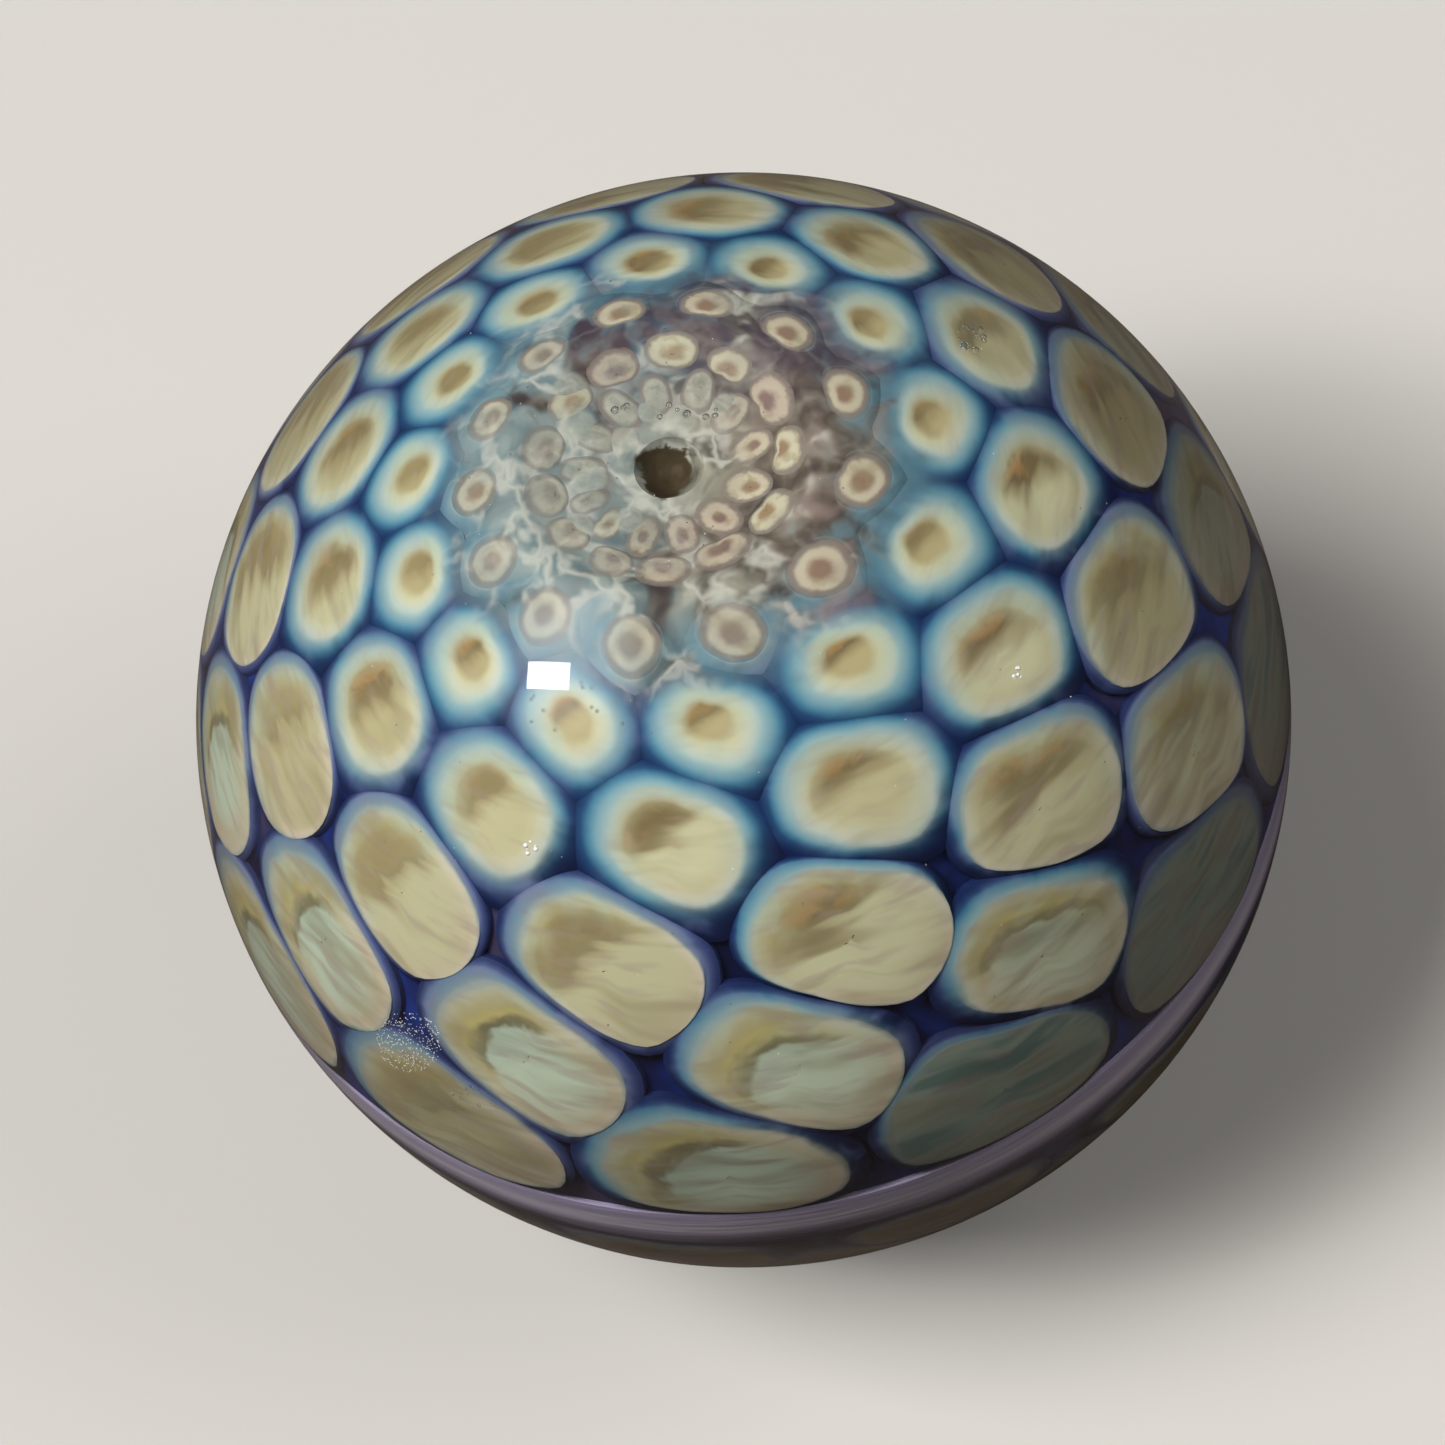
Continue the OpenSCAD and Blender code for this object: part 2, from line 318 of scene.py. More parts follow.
# geometry tree: a plug of glass on every point, from one zone of its dot to another
# (zone 0 is the middle, 1 the edge of the heart, 2 of the cream and 3 of the rim)
def buildDotTree(name, onDish):
    tree = bpy.data.node_groups.new(name, "GeometryNodeTree")
    given, result = addSockets(
        tree,
        {"Geometry": "geometry", "From Zone": "float", "To Zone": "float", "Around": "int",
         "Across": "int", "Layer Radius": "float", "Thickness": "float", "Squareness": "float",
         "Angular": "float", "Wobble": "float", "Hollow": "float", "Rim Sink": "float",
         "Sink": "float", "Dome": "float",
         "Seed": "float", "Material": "material"},
        {"Geometry": "geometry"})
    hasHole = calc(tree, "GREATER_THAN", given["From Zone"], 0.001)
    columns = calc(tree, "ADD", calc(tree, "MULTIPLY_ADD", given["Across"], 2.0, 2.0), hasHole)
    grid = addNode(tree, "GeometryNodeMeshGrid", {
        "Size X": 1.0, "Size Y": 1.0, "Vertices X": columns,
        "Vertices Y": calc(tree, "ADD", given["Around"], 1.0)})
    place = split(tree, addNode(tree, "GeometryNodeInputPosition").outputs[0])
    column = calc(tree, "ROUND", calc(tree, "MULTIPLY", calc(tree, "ADD", place[0], 0.5),
                                      calc(tree, "SUBTRACT", columns, 1.0)))
    beyond = calc(tree, "GREATER_THAN", column, calc(tree, "ADD", given["Across"], 0.5))
    closing = calc(tree, "GREATER_THAN", column, calc(tree, "MULTIPLY_ADD", given["Across"], 2.0, 1.5))
    inStep = calc(tree, "PINGPONG", calc(tree, "SUBTRACT", calc(tree, "SUBTRACT", column, beyond),
                                         closing), given["Across"])
    along = calc(tree, "DIVIDE", inStep, given["Across"])
    spanZone = calc(tree, "SUBTRACT", given["To Zone"], given["From Zone"])
    zoneHere = calc(tree, "MULTIPLY_ADD", along, spanZone, given["From Zone"])
    turnHere = calc(tree, "MULTIPLY", calc(tree, "ADD", place[1], 0.5), 2 * math.pi)
    lowerHere = calc(tree, "SUBTRACT", beyond, closing)
    plug = grid.outputs["Mesh"]
    for key, value in (("zone", zoneHere), ("turn", turnHere), ("lower", lowerHere)):
        plug = addNode(tree, "GeometryNodeStoreNamedAttribute", {
            "Geometry": plug, "Name": key, "Value": value}, data_type="FLOAT", domain="POINT").outputs[0]
    copies = addNode(tree, "GeometryNodeInstanceOnPoints", {"Points": given["Geometry"],
                                                            "Instance": plug}).outputs[0]
    made = addNode(tree, "GeometryNodeRealizeInstances", {"Geometry": copies}).outputs[0]

    def read(key, kind="FLOAT_VECTOR"):
        return addNode(tree, "GeometryNodeInputNamedAttribute", {"Name": key},
                       data_type=kind).outputs["Attribute"]

    zone, turn, lower = (read(key, "FLOAT") for key in ("zone", "turn", "lower"))
    centre, shares, shift, cast = (read(key) for key in ("centre", "shares", "shift", "cast"))
    way = combine(tree, calc(tree, "COSINE", turn), calc(tree, "SINE", turn))
    spent = 0.0
    for i in range(6):
        limit = read(f"limit{i}")
        ahead = calc(tree, "MAXIMUM", calcVector(tree, "DOT_PRODUCT", way, limit), 0.0)
        part = calc(tree, "POWER", calc(tree, "DIVIDE", ahead, split(tree, limit)[2]),
                    given["Squareness"])
        spent = calc(tree, "ADD", spent, part)
    reach = calc(tree, "POWER", spent, calc(tree, "DIVIDE", -1.0, given["Squareness"]))
    oval, ovalTwo = split(tree, read("oval")), split(tree, read("ovalTwo"))
    twice = calc(tree, "MULTIPLY", turn, 2.0)
    rounded = calc(tree, "MULTIPLY_ADD", calc(tree, "COSINE", turn), oval[1], oval[0])
    rounded = calc(tree, "MULTIPLY_ADD", calc(tree, "SINE", turn), oval[2], rounded)
    rounded = calc(tree, "MULTIPLY_ADD", calc(tree, "COSINE", twice), ovalTwo[0], rounded)
    rounded = calc(tree, "MULTIPLY_ADD", calc(tree, "SINE", twice), ovalTwo[1], rounded)
    reach = calc(tree, "MULTIPLY_ADD", calc(tree, "SUBTRACT", reach, rounded), given["Angular"], rounded)
    heartShare, rimShare = split(tree, shares)[0], split(tree, shares)[1]
    share = calc(tree, "MULTIPLY", heartShare, calc(tree, "MINIMUM", zone, 1.0))
    share = calc(tree, "MULTIPLY_ADD", calc(tree, "SUBTRACT", rimShare, heartShare),
                 calc(tree, "SUBTRACT", zone, 1.0, clamp=True), share)
    pastCream = calc(tree, "MAXIMUM", calc(tree, "SUBTRACT", zone, 2.0), 0.0)
    share = calc(tree, "MULTIPLY_ADD", calc(tree, "SUBTRACT", 1.0, rimShare), pastCream, share)
    share = calc(tree, "MINIMUM", share, 1.55)
    # no hand lays two dots alike: the edges wander, and less so towards the outline
    lot = split(tree, cast)[2]
    wander = addNode(tree, "ShaderNodeTexNoise", {
        "Vector": calcVector(tree, "ADD", calcVector(tree, "SCALE", way, scale=0.9),
                             combine(tree, lot, given["Seed"], calc(tree, "MULTIPLY", zone, 0.7))),
        "Scale": 1.0, "Detail": 1.5, "Roughness": 0.5}).outputs["Fac"]
    ease = calc(tree, "SUBTRACT", 1.15, calc(tree, "MULTIPLY", zone, 0.3), clamp=True)
    wander = calc(tree, "MULTIPLY", calc(tree, "SUBTRACT", wander, 0.5),
                  calc(tree, "MULTIPLY", given["Wobble"], ease))
    share = calc(tree, "MULTIPLY", share, calc(tree, "ADD", 1.0, wander))
    slide = calc(tree, "DIVIDE", calc(tree, "SUBTRACT", 3.0, zone), 2.0, clamp=True)
    spot = calcVector(tree, "ADD", calcVector(tree, "SCALE", way, scale=share),
                      calcVector(tree, "SCALE", shift, scale=slide))
    flat = calcVector(tree, "SCALE", spot, scale=calc(tree, "MULTIPLY", reach, mm))
    x, y = split(tree, flat)[0], split(tree, flat)[1]
    # relief: the heart is a little hollow and the rim runs down under the cream
    inHeart = calc(tree, "MINIMUM", zone, 1.0)
    hollow = calc(tree, "MULTIPLY", given["Hollow"], calc(
        tree, "POWER", calc(tree, "SUBTRACT", 1.0, calc(tree, "MULTIPLY", inHeart, inHeart)), 2.0))
    half = calc(tree, "DIVIDE", zone, 2.0)
    dome = calc(tree, "MULTIPLY", given["Dome"], calc(
        tree, "SUBTRACT", 1.0, calc(tree, "MULTIPLY", half, half), clamp=True))
    hollow = calc(tree, "SUBTRACT", hollow, dome)
    overRim = calc(tree, "MAXIMUM", calc(tree, "SUBTRACT", zone, 1.6), 0.0)
    sunk = calc(tree, "MULTIPLY_ADD", calc(tree, "POWER", overRim, 2.0), given["Rim Sink"], hollow)
    sunk = calc(tree, "ADD", calc(tree, "ADD", sunk, given["Sink"]),
                calc(tree, "MULTIPLY", lower, given["Thickness"]))
    radius = calc(tree, "SUBTRACT", given["Layer Radius"], sunk)
    if onDish:
        level = calcVector(tree, "ADD", calcVector(tree, "SCALE", centre, scale=mm), flat)
        away = calcVector(tree, "LENGTH", level)
        below = calc(tree, "SUBTRACT", (dishRadius * mm) ** 2, calc(tree, "MULTIPLY", away, away))
        height = calc(tree, "SUBTRACT", dishHeight * mm, calc(tree, "SQRT", below))
        height = calc(tree, "SUBTRACT", height, sunk)
        position = calcVector(tree, "ADD", level, combine(tree, 0.0, 0.0, height))
    else:
        east = calcVector(tree, "NORMALIZE", calcVector(tree, "CROSS_PRODUCT", (0, 0, 1), centre))
        north = calcVector(tree, "CROSS_PRODUCT", centre, east)
        left = calc(tree, "SUBTRACT", calc(tree, "MULTIPLY", radius, radius),
                    calcVector(tree, "DOT_PRODUCT", flat, flat))
        position = calcVector(tree, "SCALE", centre, scale=calc(tree, "SQRT", left))
        position = calcVector(tree, "ADD", position, calcVector(tree, "SCALE", east, scale=x))
        position = calcVector(tree, "ADD", position, calcVector(tree, "SCALE", north, scale=y))
    made = addNode(tree, "GeometryNodeStoreNamedAttribute", {
        "Geometry": made, "Name": "spot", "Value": calcVector(tree, "ADD", spot, combine(tree, 0.0, 0.0, lot))},
        data_type="FLOAT_VECTOR", domain="POINT").outputs[0]
    made = addNode(tree, "GeometryNodeSetPosition", {"Geometry": made, "Position": position}).outputs[0]
    made = addNode(tree, "GeometryNodeMergeByDistance", {"Geometry": made, "Distance": 1e-6}).outputs[0]
    made = addNode(tree, "GeometryNodeSetShadeSmooth", {"Geometry": made}).outputs[0]
    made = addNode(tree, "GeometryNodeSetMaterial", {"Geometry": made,
                                                     "Material": given["Material"]}).outputs[0]
    connect(tree, result["Geometry"], made)
    return tree


def bake(piece, tree, values):
    # runs the tree once and leaves a plain mesh, with its faces turned outwards
    modifier = piece.modifiers.new(tree.name, "NODES")
    modifier.node_group = tree
    for item in tree.interface.items_tree:
        if item.in_out == "INPUT" and item.name in values:
            modifier[item.identifier] = values[item.name]
    depsgraph = bpy.context.evaluated_depsgraph_get()
    mesh = bpy.data.meshes.new_from_object(piece.evaluated_get(depsgraph),
                                           preserve_all_data_layers=True, depsgraph=depsgraph)
    piece.modifiers.remove(modifier)
    piece.data = mesh
    work = bmesh.new()
    work.from_mesh(mesh)
    loose = [edge for edge in work.edges if not edge.link_faces]
    bmesh.ops.delete(work, geom=loose, context="EDGES")
    bmesh.ops.delete(work, geom=[v for v in work.verts if not v.link_edges], context="VERTS")
    bmesh.ops.recalc_face_normals(work, faces=work.faces)
    work.to_mesh(mesh)
    work.free()
    mesh.set_sharp_from_angle(angle=math.radians(50))
    return piece


def finish(piece, slot, *nodes):
    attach(piece, "root")
    if nodes:
        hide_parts(*nodes)
    return piece


# a turned piece: a profile of (radius, height) in millimetres, spun round the axis
def lathe(name, profile, around, closed, material):
    mesh = bpy.data.meshes.new(name)
    work = bmesh.new()
    loops = []
    for reach, height in profile:
        if reach < 1e-6:
            loops.append([work.verts.new((0, 0, height * mm))])
            continue
        loops.append([work.verts.new((reach * mm * math.cos(2 * math.pi * i / around),
                                      reach * mm * math.sin(2 * math.pi * i / around), height * mm))
                      for i in range(around)])
    pairs = list(zip(loops, loops[1:] + loops[:1] if closed else loops[1:]))
    for low, high in pairs:
        for i in range(around):
            j = (i + 1) % around
            face = [low[i % len(low)], low[j % len(low)], high[j % len(high)], high[i % len(high)]]
            face = list(dict.fromkeys(face))
            if len(face) > 2:
                work.faces.new(face)
    bmesh.ops.recalc_face_normals(work, faces=work.faces)
    for face in work.faces:
        face.smooth = True
    work.to_mesh(mesh)
    work.free()
    mesh.set_sharp_from_angle(angle=math.radians(50))
    mesh.materials.append(material)
    piece = bpy.data.objects.new(name, mesh)
    bpy.context.scene.collection.objects.link(piece)
    return piece


def arc(radius, start, stop, count):
    # profile points on the round of the layer, by colatitude
    return [(radius * math.sin(math.radians(start + (stop - start) * i / count)),
             radius * math.cos(math.radians(start + (stop - start) * i / count)))
            for i in range(count + 1)]


# materials
def newMaterial(name):
    material = bpy.data.materials.new(name)
    material.use_nodes = True
    tree = material.node_tree
    tree.nodes.clear()
    return material, tree


def finishMaterial(tree, colour, roughness=0.55, height=None, bump=0.2):
    shader = addNode(tree, "ShaderNodeBsdfPrincipled", {
        "Base Color": colour, "Roughness": roughness, "Specular IOR Level": 0.1})
    if height is not None:
        normal = addNode(tree, "ShaderNodeBump", {"Height": height, "Strength": bump,
                                                  "Distance": 0.0003}).outputs[0]
        connect(tree, shader.inputs["Normal"], normal)
    output = addNode(tree, "ShaderNodeOutputMaterial")
    tree.links.new(shader.outputs[0], output.inputs["Surface"])


def attribute(tree, name, output="Vector"):
    return addNode(tree, "ShaderNodeAttribute", attribute_name=name).outputs[output]


def mixColour(tree, factor, a, b, blend="MIX"):
    node = addNode(tree, "ShaderNodeMix", data_type="RGBA", blend_type=blend)
    for key, value in ((0, factor), (6, a), (7, b)):
        connect(tree, node.inputs[key], (*value, 1) if isinstance(value, tuple) else value)
    return node.outputs[2]


def ramp(tree, value, stops, smooth="B_SPLINE"):
    node = addNode(tree, "ShaderNodeValToRGB", {0: value})
    node.color_ramp.interpolation = smooth
    elements = node.color_ramp.elements
    for spare in list(elements)[1:]:
        elements.remove(spare)
    elements[0].position, elements[0].color = stops[0][0], (*stops[0][1], 1)
    for place, colour in stops[1:]:
        elements.new(place).color = (*colour, 1)
    return node.outputs[0]


def remap(tree, value, low, high, start=0.0, stop=1.0):
    return addNode(tree, "ShaderNodeMapRange", {
        "Value": value, "From Min": low, "From Max": high, "To Min": start, "To Max": stop},
        interpolation_type="SMOOTHSTEP").outputs[0]


def noiseOf(tree, vector, scale, detail=2.0, rough=0.5, warp=0.0):
    return addNode(tree, "ShaderNodeTexNoise", {
        "Vector": vector, "Scale": scale, "Detail": detail, "Roughness": rough,
        "Distortion": warp}).outputs["Fac"]


# shared: streaks that lie along a dot, as when its glass was drawn sideways
def buildStreaks():
    tree = bpy.data.node_groups.new("glassStreaks", "ShaderNodeTree")
    given, result = addSockets(tree, {"Spot": "vector", "Along": "float", "Across": "float",
                                      "Number": "float"},
                               {"Streak": "float", "Cloud": "float"})
    parts = split(tree, given["Spot"])
    drawn = combine(tree, calc(tree, "MULTIPLY", parts[0], given["Along"]),
                    calc(tree, "MULTIPLY", parts[1], given["Across"]),
                    calc(tree, "MULTIPLY_ADD", parts[2], 3.7, given["Number"]))
    connect(tree, result["Streak"], noiseOf(tree, drawn, 1.0, 2.0, 0.45, 0.2))
    wide = combine(tree, calc(tree, "MULTIPLY", parts[0], 1.6), calc(tree, "MULTIPLY", parts[1], 1.6),
                   calc(tree, "MULTIPLY_ADD", parts[2], 5.3, given["Number"]))
    connect(tree, result["Cloud"], noiseOf(tree, wide, 1.0, 3.0, 0.6, 0.6))
    return tree


streaks = buildStreaks()


def addStreaks(tree, spot, along, across, number):
    node = addNode(tree, "ShaderNodeGroup", node_tree=streaks)
    for key, value in (("Spot", spot), ("Along", along), ("Across", across), ("Number", number)):
        connect(tree, node.inputs[key], value)
    return node.outputs["Streak"], node.outputs["Cloud"]


# shared: the smoke and pale haze in and around the funnel, by place on the ball
def buildFunnelCast():
    tree = bpy.data.node_groups.new("funnelCast", "ShaderNodeTree")
    given, result = addSockets(tree, {"Place": "vector"},
                               {"Smoke": "colour", "Haze": "float", "Inside": "float", "Left": "float"})
    place = calcVector(tree, "SCALE", given["Place"], scale=1000.0)  # millimetres
    right = calc(tree, "DIVIDE", calcVector(tree, "DOT_PRODUCT", place, viewRight), 6.0)
    up = calcVector(tree, "DOT_PRODUCT", calcVector(tree, "SUBTRACT", place, (0, 0, 17)), viewUp)
    up = calc(tree, "DIVIDE", up, 6.0)
    reach = calcVector(tree, "LENGTH", calcVector(tree, "MULTIPLY", place, (1, 1, 0)))
    cloud = noiseOf(tree, place, 0.4, 2.0, 0.5, 0.8)
    fine = noiseOf(tree, calcVector(tree, "ADD", place, (7, 3, 5)), 0.7, 2.5, 0.5, 0.7)
    dark = ramp(tree, jitter(tree, fine, right, 0.06), [
        (0.32, (0.035, 0.028, 0.03)), (0.46, (0.085, 0.066, 0.048)), (0.58, (0.15, 0.125, 0.1)),
        (0.72, (0.24, 0.21, 0.17))])
    dark = mixColour(tree, remap(tree, jitter(tree, up, cloud, 0.8), 0.1, 0.7, 0.0, 0.75), dark,
                     (0.055, 0.04, 0.06))
    teal = calc(tree, "MULTIPLY", remap(tree, right, 0.0, -0.7), remap(tree, cloud, 0.4, 0.56))
    dark = mixColour(tree, calc(tree, "MULTIPLY", teal, 0.85), dark, (0.03, 0.085, 0.13))
    pale = ramp(tree, fine, [(0.32, (0.07, 0.068, 0.055)), (0.46, (0.19, 0.18, 0.14)),
                             (0.66, (0.39, 0.38, 0.3))])
    pale = mixColour(tree, remap(tree, right, -0.1, -0.9, 0.0, 0.45), pale, (0.17, 0.28, 0.31))
    pale = mixColour(tree, calc(tree, "MULTIPLY", remap(tree, right, 0.0, 0.5), remap(tree, cloud, 0.4, 0.6)), pale,
                     (0.29, 0.21, 0.19))
    haze = calc(tree, "MULTIPLY_ADD", up, -0.35, calc(tree, "MULTIPLY", right, -0.55))
    haze = jitter(tree, haze, cloud, 3.2)
    haze = calc(tree, "MAXIMUM", remap(tree, haze, -0.1, 0.7, 0.0, 0.8),
                remap(tree, jitter(tree, reach, fine, 4.5), 3.2, 1.2, 0.0, 0.95))
    colour = mixColour(tree, haze, dark, pale)
    warped = calcVector(tree, "ADD", place, calcVector(tree, "SCALE", addNode(
        tree, "ShaderNodeTexNoise", {"Vector": place, "Scale": 0.8, "Detail": 2.0}).outputs["Color"],
        scale=2.6))
    cells = addNode(tree, "ShaderNodeTexVoronoi", {"Vector": warped, "Scale": 0.5},
                    feature="DISTANCE_TO_EDGE").outputs["Distance"]
    thread = calc(tree, "MULTIPLY", remap(tree, cells, 0.16, 0.0), remap(tree, haze, 0.0, 0.8, 0.15, 1.0))
    colour = mixColour(tree, calc(tree, "MULTIPLY", thread, 0.6), colour, (0.46, 0.46, 0.4))
    outside = calc(tree, "MULTIPLY", remap(tree, jitter(tree, reach, fine, 5.0), 5.2, 7.4),
                   remap(tree, cloud, 0.62, 0.46, 0.1, 0.8))
    colour = mixColour(tree, outside, colour, (0.07, 0.17, 0.22))
    connect(tree, result["Smoke"], colour)
    connect(tree, result["Haze"], haze)
    rimReach = jitter(tree, calc(tree, "MULTIPLY_ADD", right, -0.3, reach), fine, 2.6)
    connect(tree, result["Inside"], remap(tree, rimReach, 9.4, 6.6))
    connect(tree, result["Left"], remap(tree, calc(tree, "SUBTRACT", calc(tree, "MULTIPLY", right, -0.8),
                                                   calc(tree, "MULTIPLY", up, 0.3)), -0.3, 0.7))
    return tree


def addFunnelCast(tree):
    node = addNode(tree, "ShaderNodeGroup", node_tree=funnelCast)
    connect(tree, node.inputs["Place"], addNode(tree, "ShaderNodeTexCoord").outputs["Object"])
    return (node.outputs[key] for key in ("Smoke", "Haze", "Inside", "Left"))


def jitter(tree, value, fac, amount):
    return calc(tree, "MULTIPLY_ADD", calc(tree, "SUBTRACT", fac, 0.5), amount, value)


funnelCast = buildFunnelCast()


# painted shade: a cell that the lamps light poorly is darkened all over, by the first value of its cast
def darkenInShade(tree, colour, cast):
    return mixColour(tree, split(tree, cast)[0], colour, (0.02, 0.02, 0.03))


# near is for the two rings round the funnel, far for the wide rings; upper is the side that the
# glass slid away from, painted darker in shade, lower the side that it slid to, painted paler in light
creamLook = {
    "nearUpperShaded": [(0.0, (0.29, 0.26, 0.15)), (0.25, (0.35, 0.38, 0.29)), (0.6, (0.31, 0.4, 0.36)),
                  (1.0, (0.23, 0.35, 0.38))],
    "nearLowerLit": [(0.0, (0.44, 0.42, 0.25)), (0.3, (0.46, 0.47, 0.33)), (0.65, (0.4, 0.47, 0.4)),
                  (1.0, (0.26, 0.38, 0.4))],
    "farUpperShaded": [(0.0, (0.32, 0.27, 0.12)), (0.4, (0.35, 0.31, 0.15)), (0.7, (0.4, 0.38, 0.26)),
                 (1.0, (0.27, 0.31, 0.29))],
    "farLowerLit": [(0.0, (0.43, 0.41, 0.26)), (0.4, (0.48, 0.45, 0.31)), (0.75, (0.52, 0.48, 0.37)),
                 (1.0, (0.33, 0.35, 0.31))],
    "peach": (0.48, 0.37, 0.27), "streak": (0.24, 0.2, 0.11), "green": (0.36, 0.42, 0.3),
    "mauve": (0.3, 0.235, 0.2),
}
# halos: lit and turquoise colour the painted-light side of a halo, shaded and milky its painted-shade side
rimLook = {
    "turquoise": [(0.0, (0.24, 0.36, 0.37)), (0.18, (0.15, 0.29, 0.33)), (0.34, (0.06, 0.18, 0.27)),
                  (0.45, (0.035, 0.12, 0.2)), (0.57, (0.012, 0.045, 0.12)), (0.85, (0.004, 0.012, 0.06))],
    "lit": [(0.0, (0.27, 0.3, 0.27)), (0.12, (0.16, 0.19, 0.22)), (0.3, (0.15, 0.18, 0.26)),
            (0.46, (0.13, 0.16, 0.26)), (0.62, (0.07, 0.09, 0.2)), (0.85, (0.018, 0.028, 0.09))],
    "shaded": [(0.0, (0.19, 0.2, 0.17)), (0.1, (0.05, 0.08, 0.12)), (0.22, (0.012, 0.028, 0.07)),
               (0.5, (0.004, 0.009, 0.04)), (1.0, (0.003, 0.005, 0.025))],
    "milky": [(0.0, (0.24, 0.26, 0.24)), (0.12, (0.15, 0.18, 0.24)), (0.3, (0.12, 0.15, 0.25)),
              (0.46, (0.1, 0.13, 0.24)), (0.66, (0.05, 0.07, 0.18)), (1.0, (0.015, 0.025, 0.09))],
}
# brown and amber are the hearts' painted shade; pale and the pale pool their painted light
heartLook = {
    "brown": (0.16, 0.12, 0.055), "olive": (0.33, 0.28, 0.14), "pale": (0.46, 0.45, 0.28),
    "amber": (0.36, 0.2, 0.07), "yellow": (0.48, 0.42, 0.14), "line": (0.1, 0.095, 0.055),
    "pool": (0.36, 0.45, 0.36), "poolLitSide": (0.44, 0.52, 0.4), "deepPoolShaded": (0.13, 0.22, 0.19),
}


def readDot(tree):
    # what a dot's tree left on its mesh
    spot, cast, paint, lean = (attribute(tree, key) for key in ("spot", "cast", "paint", "lean"))
    flatLean = calcVector(tree, "MULTIPLY", lean, (1, 1, 0))
    # side: how far a spot lies towards the dot's upper side, where heart and cream take painted shade and the halo
    # painted light
    side = calcVector(tree, "DOT_PRODUCT", calcVector(tree, "SCALE", spot, scale=-1.0), flatLean)
    return spot, cast, paint, side, split(tree, lean)[2], attribute(tree, "zone", "Fac")


